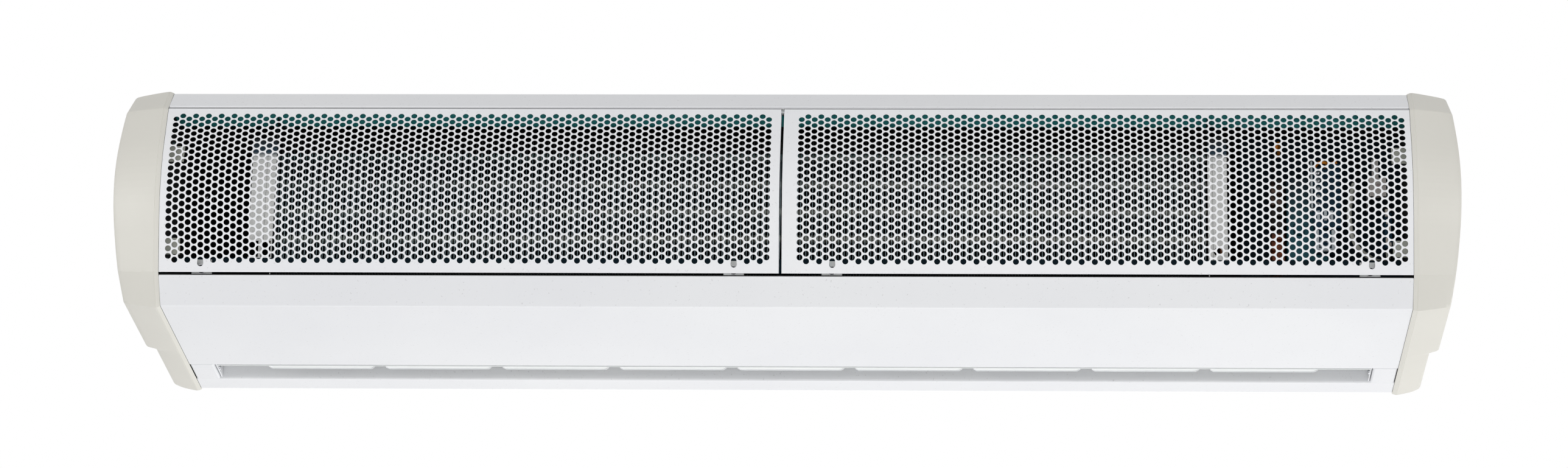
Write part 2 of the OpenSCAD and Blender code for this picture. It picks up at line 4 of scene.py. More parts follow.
import bmesh
import bpy
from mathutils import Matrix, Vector


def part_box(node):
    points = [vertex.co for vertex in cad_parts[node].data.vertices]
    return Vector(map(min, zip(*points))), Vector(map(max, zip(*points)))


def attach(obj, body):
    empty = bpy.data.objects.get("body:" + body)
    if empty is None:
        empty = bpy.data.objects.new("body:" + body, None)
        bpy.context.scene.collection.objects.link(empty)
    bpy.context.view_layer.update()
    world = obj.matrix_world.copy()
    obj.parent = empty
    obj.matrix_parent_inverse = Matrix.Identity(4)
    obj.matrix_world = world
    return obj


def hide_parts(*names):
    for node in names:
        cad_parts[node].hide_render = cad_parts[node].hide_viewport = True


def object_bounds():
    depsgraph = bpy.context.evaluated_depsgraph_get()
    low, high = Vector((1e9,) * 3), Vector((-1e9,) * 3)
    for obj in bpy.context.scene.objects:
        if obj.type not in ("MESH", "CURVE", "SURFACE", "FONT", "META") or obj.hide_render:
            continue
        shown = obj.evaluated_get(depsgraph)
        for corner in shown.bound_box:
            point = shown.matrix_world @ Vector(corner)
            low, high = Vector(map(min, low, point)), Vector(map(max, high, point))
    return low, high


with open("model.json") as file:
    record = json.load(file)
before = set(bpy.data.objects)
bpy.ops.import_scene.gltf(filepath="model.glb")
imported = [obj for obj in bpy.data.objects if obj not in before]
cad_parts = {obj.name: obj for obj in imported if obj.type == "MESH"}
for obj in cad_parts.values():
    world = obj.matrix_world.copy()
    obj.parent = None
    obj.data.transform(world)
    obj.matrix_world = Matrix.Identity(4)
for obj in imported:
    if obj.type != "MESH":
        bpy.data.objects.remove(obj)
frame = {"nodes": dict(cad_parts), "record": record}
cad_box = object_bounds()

# A heated air curtain seen from in front and below. Lengths are metres, X runs along the unit,
# -Y is the front, +Y the wall, and Z = 0 is the end caps' lowest rim.

MM = 0.001
NODES = frame["nodes"]
BODY_OF = {node: body for body, nodes in frame["record"]["behaviour"]["bodies"].items()
           for node in nodes}


# ---- Camera ----

# Where the photograph was taken from, and how that camera was turned
CAMERA_PLACE = (0.228, -4.9304, -1.6475)
CAMERA_TURN = (109.789, -0.989, 2.361)
LENS_MM = 110.26


def add_camera():
    data = bpy.data.cameras.new("camera")
    data.sensor_width = 36
    data.lens = LENS_MM
    data.clip_start, data.clip_end = 0.05, 100
    camera = bpy.data.objects.new("camera", data)
    camera.location = CAMERA_PLACE
    camera.rotation_euler = [math.radians(angle) for angle in CAMERA_TURN]
    bpy.context.scene.collection.objects.link(camera)
    bpy.context.scene.camera = camera


add_camera()


# ---- Shader arithmetic ----

class Value:
    """A node's output that Python's arithmetic works on."""

    def __init__(self, shade, socket):
        self.shade, self.socket = shade, socket

    def maths(self, operation, *values):
        return self.shade.node("ShaderNodeMath", {"operation": operation}, dict(enumerate(values)))

    def __add__(self, other):
        return self.maths("ADD", self, other)

    def __sub__(self, other):
        return self.maths("SUBTRACT", self, other)

    def __rsub__(self, other):
        return self.maths("SUBTRACT", other, self)

    def __mul__(self, other):
        return self.maths("MULTIPLY", self, other)

    def __gt__(self, other):
        return self.maths("GREATER_THAN", self, other)

    def __lt__(self, other):
        return self.maths("LESS_THAN", self, other)

    __radd__ = __add__
    __rmul__ = __mul__

    def size(self):
        return self.maths("ABSOLUTE", self)

    def either(self, other):
        """The larger of two, which is 1 where one of two masks is."""
        return self.maths("MAXIMUM", self, other)

    def ramp(self, low, high):
        """0 below low, 1 above high, and straight between."""
        settings = {"clamp": True}
        return self.shade.node("ShaderNodeMapRange", settings,
                               {"Value": self, "From Min": low, "From Max": high})


class Shade:
    """A material whose nodes are made by one method."""

    def __init__(self, name):
        self.material = bpy.data.materials.new(name)
        self.material.use_nodes = True
        self.tree = self.material.node_tree
        self.surface = self.tree.nodes["Principled BSDF"]

    def fill(self, node, values):
        for key, value in values.items():
            if isinstance(value, Value):
                self.tree.links.new(value.socket, node.inputs[key])
            else:
                node.inputs[key].default_value = value

    def node(self, kind, settings=None, values=None, output=0):
        node = self.tree.nodes.new(kind)
        for name, value in (settings or {}).items():
            setattr(node, name, value)
        self.fill(node, values or {})
        return Value(self, node.outputs[output])

    def place(self):
        """Object coordinates, in metres."""
        return self.node("ShaderNodeTexCoord", output="Object")

    def along(self, axis):
        return self.node("ShaderNodeSeparateXYZ", values={"Vector": self.place()}, output=axis)

    def stretched(self, scale):
        return self.node("ShaderNodeMapping", values={"Vector": self.place(), "Scale": scale})

    def noise(self, scale, detail=2.0, where=None):
        values = {"Vector": where or self.place(), "Scale": scale, "Detail": detail}
        return self.node("ShaderNodeTexNoise", values=values)

    def mix(self, factor, first, second):
        """Two colours mixed: the first at factor 0 and the second at 1."""
        settings = {"data_type": "RGBA", "clamp_factor": True}
        return self.node("ShaderNodeMix", settings, {0: factor, 6: first, 7: second}, output=2)

    def bump(self, height, strength, distance=0.0002):
        values = {"Height": height, "Strength": strength, "Distance": distance}
        self.fill(self.surface, {"Normal": self.node("ShaderNodeBump", values=values)})

    def set(self, **values):
        """Sets the shader's own sockets: base_color stands for Base Color."""
        named = {key.replace("_", " ").title(): value for key, value in values.items()}
        self.fill(self.surface, {key.replace("Ior", "IOR"): v for key, v in named.items()})
        return self.material


def rgb(red, green, blue):
    """A colour given as it looks on a screen, 0 to 255, in the shader's linear numbers."""
    def linear(c):
        c = c / 255
        return c / 12.92 if c <= 0.04045 else ((c + 0.055) / 1.055) ** 2.4
    return (linear(red), linear(green), linear(blue), 1)


# ---- Materials ----

# Near-black painted shade for faces inside the casing, which are white or zinc sheet lying in shade
INTERIOR_SHADE = rgb(9, 11, 13)
# Corners of the painted body in the side view: the top sheet's front edge and the fascia's foot
STRIP_TOP = (-0.117, 0.246)
FASCIA_FOOT = (-0.120, 0.002)
# Outer planes that meet there, each with its way out, and the depth at which the painted shade
# inside starts
SKIN_PLANES = ((STRIP_TOP, (0.0, 1.0)), (STRIP_TOP, (-0.6963, 0.7177)),
               (FASCIA_FOOT, (-0.7804, -0.6252)), (FASCIA_FOOT, (0.0, -1.0)))
SKIN = 1.2 * MM
ZINC_SKIN = 0.75 * MM
# Where the slot's sheets start, and a height above all of them
NOZZLE_Y = 0.078
NOZZLE_TOP = 0.150
ZINC_TONES = ((168, 171, 172), (190, 191, 190))
# Scribed lines on the bulkheads' flanges, and the heights at which their painted teal shade comes in
SCRIBED_X = (-0.561, 0.4565)
SCRIBED_HALF = 0.3 * MM
# Depth behind the flange's front beyond which the faces get painted shade
FLANGE_DEEP = 1.3 * MM
SHADE_TINT_Z = (0.178, 0.184, 0.199)
# Half thickness of a heater fin and of the hem on its front edge, and the hem's depth
FIN_HALF = 0.2 * MM
HEM_HALF = 0.32 * MM
HEM_DEEP = 1.1 * MM
# Painted highlight at each rod's row, for the rod seen between the fins: how far below the rod's own
# height it sits, and how it fades
ROD_GLINT_DROP = 6.4 * MM
ROD_GLINT_FADE = (2.2 * MM, 4.6 * MM)
# Painted shade: heights over which the fins and the rods' painted highlights darken, and above which
# the fins are painted black
FIN_SHADE_Z = (0.138, 0.180)
ROD_GLINT_SHADE_Z = (0.118, 0.182)
FIN_BLACK_Z = 0.1862
# Heights over which the brown strip turns from orange flecks to dark, to pale flecks, and to dark
# again
BOARD_BANDS = ((0.100, 0.110), (0.134, 0.142), (0.160, 0.168))
CASE_SHADE_Z = (0.105, 0.165)


def powder_grain(s):
    """The clouded tone, fine specks and orange peel of a white powder coat."""
    speck = s.noise(420, 1).ramp(0.70, 0.76) * 0.5
    tone = s.mix(s.noise(3, 3).ramp(0.35, 0.65), rgb(236, 237, 240), rgb(240, 241, 243))
    s.bump(s.noise(900, 2), 0.10)
    return s.mix(speck, tone, rgb(206, 206, 208))


def white_powder_coat():
    s = Shade("white_powder_coat")
    return s.set(base_color=powder_grain(s), roughness=s.noise(30, 2) * 0.10 + 0.36,
                 specular_ior_level=0.45)


def white_sheet_shaded_inside():
    """White outside and in the nozzle, with near-black painted shade on the faces inside the casing.
    """
    s = Shade("white_sheet_shaded_inside")
    y, z = s.along(1), s.along(2)
    inside = (y < NOZZLE_Y).either(z > NOZZLE_TOP)
    for point, way in SKIN_PLANES:
        reach = point[0] * way[0] + point[1] * way[1] - SKIN
        inside = inside * (y * way[0] + z * way[1] < reach)
    return s.set(base_color=s.mix(inside, powder_grain(s), INTERIOR_SHADE),
                 roughness=s.noise(30, 2) * 0.10 + 0.36 + inside * 0.5, specular_ior_level=0.45)


def cream_moulding():
    s = Shade("cream_moulding")
    tone = s.mix(s.noise(6, 3).ramp(0.3, 0.7), rgb(221, 219, 211), rgb(226, 224, 216))
    s.bump(s.noise(1400, 2), 0.10)
    return s.set(base_color=tone, roughness=s.noise(50, 2) * 0.10 + 0.38, specular_ior_level=0.45)


def spangle(s, dark, light):
    """The flaked tone of a zinc coat, and its flakes as a number."""
    grain = s.node("ShaderNodeTexVoronoi", {"feature": "F1"},
                   {"Vector": s.place(), "Scale": 260}, output="Color")
    flake = s.node("ShaderNodeSeparateColor", values={"Color": grain})
    s.bump(s.noise(700, 2), 0.06)
    return s.mix(flake, rgb(*dark), rgb(*light)), flake


def galvanised_sheet():
    s = Shade("galvanised_sheet")
    tone, flake = spangle(s, *ZINC_TONES)
    return s.set(base_color=tone, metallic=0.45, roughness=flake * 0.14 + 0.38)


def zinc_shaded_inside():
    """Zinc outside, and near-black painted shade on the faces that look into the casing."""
    s = Shade("zinc_shaded_inside")
    tone, flake = spangle(s, *ZINC_TONES)
    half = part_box("top_cover")[1].x
    behind = s.along(1) > cad_box[1].y - ZINC_SKIN
    outside = behind.either(s.along(0).size() > half + ZINC_SKIN)
    return s.set(base_color=s.mix(outside, INTERIOR_SHADE, tone), metallic=outside * 0.45,
                 roughness=flake * 0.14 + 0.9 - outside * 0.5)


def bulkhead_sheet():
    """Pale zinc with a scribed line down each front flange, painted teal shade darkening to black
    towards the top, and painted shade behind the flange's front face.
    """
    s = Shade("bulkhead_sheet")
    x, z = s.along(0), s.along(2)
    tone, flake = spangle(s, (240, 240, 238), (250, 250, 248))
    speck = s.noise(520, 3).ramp(0.56, 0.70) * 0.35
    tone = s.mix(speck, tone, rgb(170, 171, 170))
    left, right = ((x - place).size() < SCRIBED_HALF for place in SCRIBED_X)
    tone = s.mix((left + right) * 0.6, tone, rgb(96, 98, 98))
    # Painted shade with a teal cast, then near black towards the top
    tone = s.mix(z.ramp(*SHADE_TINT_Z[:2]), tone, rgb(16, 54, 74))
    tone = s.mix(z.ramp(*SHADE_TINT_Z[1:]), tone, rgb(4, 10, 14))
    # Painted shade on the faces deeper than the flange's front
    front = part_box("heater_bulkhead_left")[0].y
    tone = s.mix(s.along(1) > front + FLANGE_DEEP, tone, INTERIOR_SHADE)
    return s.set(base_color=tone, metallic=0.0, roughness=flake * 0.14 + 0.42)


def pale_bracket():
    s = Shade("pale_bracket")
    s.bump(s.noise(700, 2), 0.06)
    return s.set(base_color=s.mix(s.noise(90, 3), rgb(172, 174, 164), rgb(186, 188, 178)),
                 roughness=s.noise(60, 2) * 0.12 + 0.46)


def nozzle_sheet():
    s = Shade("nozzle_sheet")
    streak = s.noise(14, 4, s.stretched((0.6, 9, 9)))
    s.bump(s.noise(800, 2), 0.05)
    return s.set(base_color=s.mix(streak.ramp(0.3, 0.7), rgb(236, 239, 239), rgb(243, 245, 244)),
                 metallic=0.0, roughness=streak * 0.14 + 0.36)


def bright_steel():
    s = Shade("bright_steel")
    wear = s.noise(300, 3)
    s.bump(s.noise(1500, 2), 0.05, 0.0001)
    return s.set(base_color=s.mix(wear, rgb(188, 190, 194), rgb(214, 215, 218)),
                 metallic=0.9, roughness=wear * 0.2 + 0.18)


def ferrite():
    s = Shade("ferrite")
    s.bump(s.noise(900, 3), 0.2)
    return s.set(base_color=s.mix(s.noise(400, 3), rgb(22, 22, 24), rgb(44, 44, 47)),
                 roughness=0.6)


def enamel(name, low, high, rough, gloss=0.5):
    """A painted or moulded finish with a fine texture and a slight drift of tone."""
    s = Shade(name)
    s.bump(s.noise(1100, 2), 0.10)
    return s.set(base_color=s.mix(s.noise(25, 3).ramp(0.3, 0.7), rgb(*low), rgb(*high)),
                 roughness=s.noise(90, 2) * 0.14 + rough, specular_ior_level=gloss)


def drawn_metal(name, low, high, rough=0.3, scale=(1, 60, 60)):
    """Bare metal with fine lines along X."""
    s = Shade(name)
    line = s.noise(60, 3, s.stretched(scale))
    s.bump(line, 0.08)
    return s.set(base_color=s.mix(line, rgb(*low), rgb(*high)), metallic=0.8,
                 roughness=line * 0.2 + rough)


def heater_fin():
    """Fin faces painted dark as shade, the hem in front painted bright as a highlight, a painted
    highlight of each rod seen between the fins, and painted shade higher up.
    """
    s = Shade("heater_fin")
    heat = s.noise(18, 3)
    s.bump(s.noise(500, 2), 0.06)
    # The faces' dark tone is painted shade between the fins
    face = s.mix(heat.ramp(0.3, 0.7), rgb(44, 70, 80), rgb(70, 92, 100))
    hem = s.along(1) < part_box("heater_fins")[0].y + HEM_DEEP + FIN_HALF
    (_, _, low), (_, _, high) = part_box("heater_rod_1")
    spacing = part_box("heater_rod_2")[0].z - low
    lifted = s.along(2) + (spacing * 1.5 - (low + high) / 2 + ROD_GLINT_DROP)
    away = (lifted.maths("MODULO", lifted, spacing) - spacing / 2).size()
    height = s.along(2)
    # The hem's pale tone is a painted highlight
    tone = s.mix(hem, face, rgb(150, 168, 174))
    tone = s.mix(height.ramp(*FIN_SHADE_Z) * 0.85, tone, rgb(6, 28, 38))
    # Painted highlight of each rod seen between the fins, darker higher up
    rod_glint = s.mix(height.ramp(*ROD_GLINT_SHADE_Z), rgb(222, 232, 228), rgb(96, 128, 132))
    tone = s.mix(1.0 - away.ramp(*ROD_GLINT_FADE), tone, rod_glint)
    # Painted shade: black above the top rod
    return s.set(base_color=s.mix(height > FIN_BLACK_Z, tone, rgb(4, 6, 8)),
                 metallic=0.0, roughness=heat * 0.2 + 0.4)


def element_tube():
    s = Shade("element_tube")
    heat = s.noise(22, 4, s.stretched((0.5, 3, 3)))
    s.bump(s.noise(900, 2), 0.08)
    return s.set(base_color=s.mix(heat.ramp(0.3, 0.7), rgb(206, 202, 192), rgb(232, 229, 220)),
                 metallic=0.2, roughness=heat * 0.2 + 0.34)


def shaded_lead_sleeve(name, low, high, until_x=1.0, from_z=0.0, to_z=1.0):
    """A lead's sleeve, painted black as shade outside a span of heights where it lies left of
    until_x.
    """
    s = Shade(name)
    s.bump(s.noise(1100, 2), 0.1)
    z = s.along(2)
    lit_span = (z > from_z) * (z < to_z)
    # Painted shade: black where the lead runs into the shade
    black = (1.0 - lit_span) * (s.along(0) < until_x)
    tone = s.mix(s.noise(25, 3).ramp(0.3, 0.7), rgb(*low), rgb(*high))
    return s.set(base_color=s.mix(black, tone, rgb(14, 16, 18)),
                 roughness=s.noise(90, 2) * 0.14 + 0.36)


def brown_board():
    """Brown moulding, flecked orange at its lower end and with paler flecks higher up, dark between
    and at the top.
    """
    s = Shade("brown_board")
    s.bump(s.noise(1100, 2), 0.2)
    orange_band, pale_band, dark = (s.along(2).ramp(*band) for band in BOARD_BANDS)
    orange_flecks = s.mix(s.noise(260, 3).ramp(0.56, 0.68), rgb(112, 56, 32), rgb(190, 94, 40))
    pale_flecks = s.mix(s.noise(200, 3).ramp(0.45, 0.65), rgb(46, 32, 28), rgb(100, 78, 68))
    tone = s.mix(pale_band, s.mix(orange_band, orange_flecks, rgb(22, 16, 15)), pale_flecks)
    return s.set(base_color=s.mix(dark, tone, rgb(14, 15, 18)),
                 roughness=s.noise(90, 2) * 0.14 + 0.5, specular_ior_level=0.3)


def teal_case():
    """Teal moulding, darker towards its top."""
    s = Shade("teal_case")
    s.bump(s.noise(1100, 2), 0.1)
    tone = s.mix(s.noise(40, 3), rgb(18, 76, 90), rgb(30, 90, 100))
    return s.set(base_color=s.mix(s.along(2).ramp(*CASE_SHADE_Z), tone, rgb(10, 30, 42)),
                 roughness=s.noise(90, 2) * 0.14 + 0.45, specular_ior_level=0.3)


WHITE = white_powder_coat()
# Dark grey painted shade for the intake panels' hole walls and cut edges, whose real coat is white
HOLE_WALL_SHADE = enamel("hole_wall_shade", (70, 70, 72), (84, 84, 86), 0.6)
WHITE_SHADED_INSIDE = white_sheet_shaded_inside()
CREAM = cream_moulding()
ZINC = galvanised_sheet()
ZINC_SHADED_INSIDE = zinc_shaded_inside()
BULKHEAD = bulkhead_sheet()
BRACKET = pale_bracket()
NOZZLE = nozzle_sheet()
STEEL = bright_steel()
FERRITE = ferrite()
# Teal painted shade for the top baffle: grey metal in shade with a teal cast, made bright so it
# shows through the holes
TEAL_SHADE_TINT = enamel("teal_paint", (70, 196, 198), (84, 210, 210), 0.35)
# Painted dark navy reflection for the heater rail, seen through the lowest row of holes
RAIL_PAINTED_REFLECTION = enamel("rail_paint", (6, 28, 38), (10, 36, 48), 0.6, gloss=0.15)
FIN = heater_fin()
TUBE = element_tube()
CERAMIC = enamel("ceramic", (226, 220, 206), (238, 234, 222), 0.6)
COPPER = drawn_metal("copper", (150, 92, 62), (186, 120, 84))
ROTOR_PAINT = enamel("rotor_paint", (10, 11, 13), (16, 17, 19), 0.7, gloss=0.1)
BRONZE = drawn_metal("bronze", (140, 112, 70), (170, 138, 90))
RUBBER = enamel("rubber", (22, 22, 23), (34, 34, 35), 0.7)
# Near-black painted shade for the motor, scroll, fan plates and motor bracket deep inside the casing
SHADE_BLACK_ENAMEL = enamel("shade_black_enamel", (3, 5, 7), (7, 9, 12), 0.75, gloss=0.06)
NAVY_ENAMEL = enamel("navy_enamel", (6, 20, 30), (10, 30, 42), 0.6, gloss=0.15)
CUTOUT_ZINC = enamel("cutout_zinc", (206, 198, 194), (222, 215, 211), 0.4)
LAMINATION = drawn_metal("lamination", (84, 84, 86), (112, 112, 114), 0.4, (60, 1, 1))
TEAL_PLASTIC = teal_case()
BLUE_PLASTIC = enamel("blue_plastic", (14, 46, 66), (24, 62, 84), 0.45, gloss=0.2)
DARK_PLASTIC = enamel("dark_plastic", (9, 10, 12), (16, 17, 19), 0.7, gloss=0.1)
BROWN_PLASTIC = brown_board()
WHITE_PLASTIC = enamel("white_plastic", (206, 214, 220), (224, 229, 232), 0.25)
# Warm white painted glints for the small connector's lugs
LUG_GLINT_PLASTIC = enamel("lug_glint_plastic", (238, 226, 212), (248, 238, 226), 0.35)
BUTTON_PLASTIC = enamel("button_plastic", (170, 152, 152), (184, 166, 166), 0.4)
# The leads' sleeves, painted black as shade where they run into the dark
ORANGE_SLEEVE = shaded_lead_sleeve("orange_sleeve", (222, 124, 20), (240, 146, 36), until_x=0.55,
                            from_z=0.199)
PALE_SLEEVE = shaded_lead_sleeve("pale_sleeve", (190, 190, 180), (206, 205, 196), to_z=0.162)

# Each finish's nodes, with the width in millimetres of their softened edges: 0 keeps the CAD mesh
CAD_FINISH = {
    WHITE_SHADED_INSIDE: {"top_cover": 0.3, "bottom_panel": 0.3, "outlet_lip": 0.3, "outlet_ends": 0.3,
                  "outlet_cheek_left": 0.25, "outlet_cheek_right": 0.25},
    ZINC_SHADED_INSIDE: {"rear_chassis": 0.3, "side_plate_left": 0, "side_plate_right": 0},
    ZINC: {"hinge_bracket": 0.15, "catch_tabs": 0.4},
    BRACKET: {"panel_brackets": 0.2},
    BULKHEAD: {"heater_bulkhead_left": 0.2, "heater_bulkhead_right": 0.2},
    NOZZLE: {"outlet_guide": 0.25, "outlet_rear_wall": 0.25},
    STEEL: {"hinge_pins_left": 0.2, "hinge_pins_right": 0.2, "fan_shaft": 0.5, "motor_shaft": 0.5,
            "mount_nuts": 0.4},
    TEAL_SHADE_TINT: {"top_baffle": 0.2},
    RAIL_PAINTED_REFLECTION: {"heater_rail": 0.2},
    TUBE: {f"heater_rod_{i}": 0.5 for i in range(1, 6)},
    CERAMIC: {"heater_insulators": 0.8},
    COPPER: {"heater_links": 0.3, "motor_stator": 1.5},
    ROTOR_PAINT: {"fan_rotor": 0, "fan_hub": 0.6},
    BRONZE: {"fan_bearing": 0.4},
    RUBBER: {"bearing_bush": 0.8, "motor_mounts": 0.6, "cable_grommet": 0.7},
    SHADE_BLACK_ENAMEL: {"motor_housing": 2.5, "scroll": 0.2,
                  "fan_plate_left": 0.2, "fan_plate_right": 0.2, "motor_bracket": 0.3},
    NAVY_ENAMEL: {"electrics_plate": 0.2},
    CUTOUT_ZINC: {"thermal_cutout": 0.25},
    LAMINATION: {"motor_rotor": 0.5},
    TEAL_PLASTIC: {"contactor": 1.2, "contactor_slide": 0.4},
    DARK_PLASTIC: {"capacitor": 1.5},
    BROWN_PLASTIC: {"terminal_strip": 0.6},
    BUTTON_PLASTIC: {"reset_button": 0.8},
}


# ---- Mesh helpers ----

# Edges that turn more than SMOOTH_ANGLE stay sharp; eased() rounds those of a closed shape that
# turn more than EASED_ANGLE, in EASED_STEPS steps
SMOOTH_ANGLE = math.radians(35)
EASED_ANGLE = math.radians(30)
EASED_STEPS = 2


def piece(name, bm, finish, node, replace=True, wall=0.0, thin=None, edge=None):
    """Turns a finished bmesh into a named piece that goes with a CAD node: it rides on the node's
    body. A skin gets a wall of that thickness behind it, halved at the vertices that thin picks,
    and its cut edges may have a finish of their own."""
    mesh = bpy.data.meshes.new(name)
    bm.to_mesh(mesh)
    bm.free()
    mesh.materials.append(finish)
    made = bpy.data.objects.new(name, mesh)
    bpy.context.scene.collection.objects.link(made)
    if wall:
        solid = made.modifiers.new("wall", "SOLIDIFY")
        solid.thickness = wall
        solid.offset = -1
        solid.use_even_offset = True
        if edge:
            mesh.materials.append(edge)
            solid.material_offset_rim = 1
        if thin:
            group = made.vertex_groups.new(name="wall")
            for v in mesh.vertices:
                group.add([v.index], 0.5 if thin(v.co) else 1.0, "REPLACE")
            solid.vertex_group = group.name
        bpy.context.view_layer.objects.active = made
        bpy.ops.object.modifier_apply(modifier=solid.name)
    made.data.shade_smooth()
    made.data.set_sharp_from_angle(angle=SMOOTH_ANGLE)
    # Large flat faces keep their own shading right up to a rounded edge
    flat = made.modifiers.new("flat", "WEIGHTED_NORMAL")
    flat.keep_sharp = True
    bpy.context.view_layer.objects.active = made
    bpy.ops.object.modifier_apply(modifier=flat.name)
    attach(made, BODY_OF[node])
    if replace:
        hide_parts(node)
    return made


def merged(bm):
    bmesh.ops.remove_doubles(bm, verts=bm.verts, dist=1e-6)
    bmesh.ops.recalc_face_normals(bm, faces=bm.faces)


def eased(bm, width):
    """Rounds the edges of a closed shape."""
    sharp = [e for e in bm.edges if len(e.link_faces) == 2 and e.calc_face_angle() > EASED_ANGLE]
    bmesh.ops.bevel(bm, geom=sharp, offset=width, offset_type="OFFSET", segments=EASED_STEPS,
                    profile=0.5, affect="EDGES", material=-1, clamp_overlap=True)


def softened(node, finish, width):
    """A copy of a CAD node with its edges rounded."""
    bm = bmesh.new()
    bm.from_mesh(NODES[node].data)
    bmesh.ops.remove_doubles(bm, verts=bm.verts, dist=1e-6)
    bmesh.ops.dissolve_limit(bm, angle_limit=math.radians(1), verts=bm.verts, edges=bm.edges)
    eased(bm, width * MM)
    return piece(node + "_eased", bm, finish, node)


for finish, widths in CAD_FINISH.items():
    for node, width in widths.items():
        if width:
            softened(node, finish, width)
        else:
            NODES[node].data.materials.clear()
            NODES[node].data.materials.append(finish)


def block(bm, low, high):
    """A box between two corners given in millimetres; its new vertices."""
    made = bmesh.ops.create_cube(bm, size=1)["verts"]
    low, high = Vector(low) * MM, Vector(high) * MM
    for v in made:
        v.co = Vector([a + (b - a) * (c + 0.5) for a, b, c in zip(low, high, v.co)])
    return made


# ---- Side view of the intake panels ----

ARC_R = 0.166
LEAN = math.radians(17)
LOWER_FLAT = 0.0495
UPPER_FLAT = 0.043
ARC_LENGTH = ARC_R * 2 * LEAN
PANEL_LENGTH = LOWER_FLAT + ARC_LENGTH + UPPER_FLAT
ARC_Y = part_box("grille_left")[0].y + ARC_R
ARC_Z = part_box("grille_left")[0].z + LOWER_FLAT * math.cos(LEAN) + ARC_R * math.sin(LEAN)


def panel_point(x, s, depth=0.0):
    """The place at arc distance s above a panel's lower edge, moved inwards by depth."""
    lean = min(max((s - LOWER_FLAT) / ARC_R - LEAN, -LEAN), LEAN)
    flat = s - LOWER_FLAT - ARC_LENGTH if lean == LEAN else min(s - LOWER_FLAT, 0)
    return Vector((x, ARC_Y - (ARC_R - depth) * math.cos(lean) + flat * math.sin(abs(lean)) *
                   (1 if lean > 0 else -1),
                   ARC_Z + (ARC_R - depth) * math.sin(lean) + flat * math.cos(lean)))


# ---- Perforated panels ----

HOLE_R = 3.25 * MM
PITCH = 8 * MM
COLUMN = PITCH * math.sin(math.radians(60))
COLUMNS = 93
ROWS = 22
FIRST_ROW = 13 * MM
# Middle of the first column of holes in each panel
FIRST_COLUMN = {"grille_left": -654.5 * MM, "grille_right": 17.9 * MM}
SHEET = 0.6 * MM
HOLE_SIDES = 12
CATCH_HOLE = (6.6 * MM, 10.3 * MM)
CATCH_X = (0.052, 0.619)
FOLD = 10 * MM
# A folded end's bend: distance in from the end, and depth behind the face
END_BEND = ((0.3, 0.0), (0.1, 0.1), (0.0, 0.3))


def cell(bm, x, low, high, middle, wide, tall):
    """One column-wide block from low to high with a long hole round (x, middle)."""
    hole = bmesh.ops.create_circle(bm, segments=HOLE_SIDES, radius=wide / 2)["verts"]
    for v in hole:
        v.co.y += (tall - wide) / 2 * (1 if v.co.y > 0 else -1)
        v.co += Vector((x, middle, 0))
    stops = [low, middle, high] if wide == tall else [low, FIRST_ROW - PITCH / 2, FIRST_ROW, high]
    left = [bm.verts.new((x - COLUMN / 2, s, 0)) for s in stops]
    right = [bm.verts.new((x + COLUMN / 2, s, 0)) for s in reversed(stops)]
    rim = left + right
    edges = [bm.edges.new((rim[i], rim[i - 1])) for i in range(len(rim))]
    edges += list({e for v in hole for e in v.link_edges})
    bmesh.ops.bridge_loops(bm, edges=edges)


def plain(bm, low, high):
    """A solid block of a column."""
    corners = [(-1, low), (-1, high), (1, high), (1, low)]
    bm.faces.new([bm.verts.new((side * COLUMN / 2, s, 0)) for side, s in corners])


def panel_columns(bm, first_x, catches):
    """The perforated field, flat, with its strips above and below: x by arc distance."""
    row_low = FIRST_ROW - PITCH / 2
    field_top = row_low + ROWS * PITCH
    for kind in (0, 1):
        # Columns with 21 holes start half a pitch higher than those with 22
        shift = (1 - kind) * PITCH / 2
        column = bmesh.new()
        for r in range(ROWS - 1 + kind):
            low = row_low + shift + r * PITCH
            cell(column, 0, low, low + PITCH, low + PITCH / 2, 2 * HOLE_R, 2 * HOLE_R)
        if not kind:
            plain(column, row_low, row_low + shift)
            plain(column, field_top - shift, field_top)
        plain(column, 0, row_low)
        plain(column, field_top, PANEL_LENGTH)
        bmesh.ops.remove_doubles(column, verts=column.verts, dist=1e-6)
        mesh = bpy.data.meshes.new("column")
        column.to_mesh(mesh)
        column.free()
        for c in range(kind, COLUMNS, 2):
            before = len(bm.verts)
            bm.from_mesh(mesh)
            bm.verts.ensure_lookup_table()
            bmesh.ops.translate(bm, verts=bm.verts[before:], vec=(first_x + c * COLUMN, 0, 0))
        bpy.data.meshes.remove(mesh)
    for x in catches:
        nearest = first_x + round((x - first_x) / COLUMN) * COLUMN
        doomed = [f for f in bm.faces if f.calc_center_median().y < row_low + PITCH
                  and abs(f.calc_center_median().x - nearest) < COLUMN / 2]
        bmesh.ops.delete(bm, geom=doomed, context="FACES")
        top = row_low + PITCH
        middle = FIRST_ROW + HOLE_R - CATCH_HOLE[1] / 2
        cell(bm, nearest, 0, top, middle, *CATCH_HOLE)


def rim_moved(bm, from_x, from_depth, to_x, to_depth):
    """Extrudes the boundary edges that lie at one place in X and depth to another."""
    rim = [e for e in bm.edges if e.is_boundary
           and all(abs(v.co.x - from_x) < 2e-6 and abs(v.co.z - from_depth) < 2e-6 for v in e.verts)]
    new = bmesh.ops.extrude_edge_only(bm, edges=rim)["geom"]
    for v in (g for g in new if isinstance(g, bmesh.types.BMVert)):
        v.co.x, v.co.z = to_x, to_depth


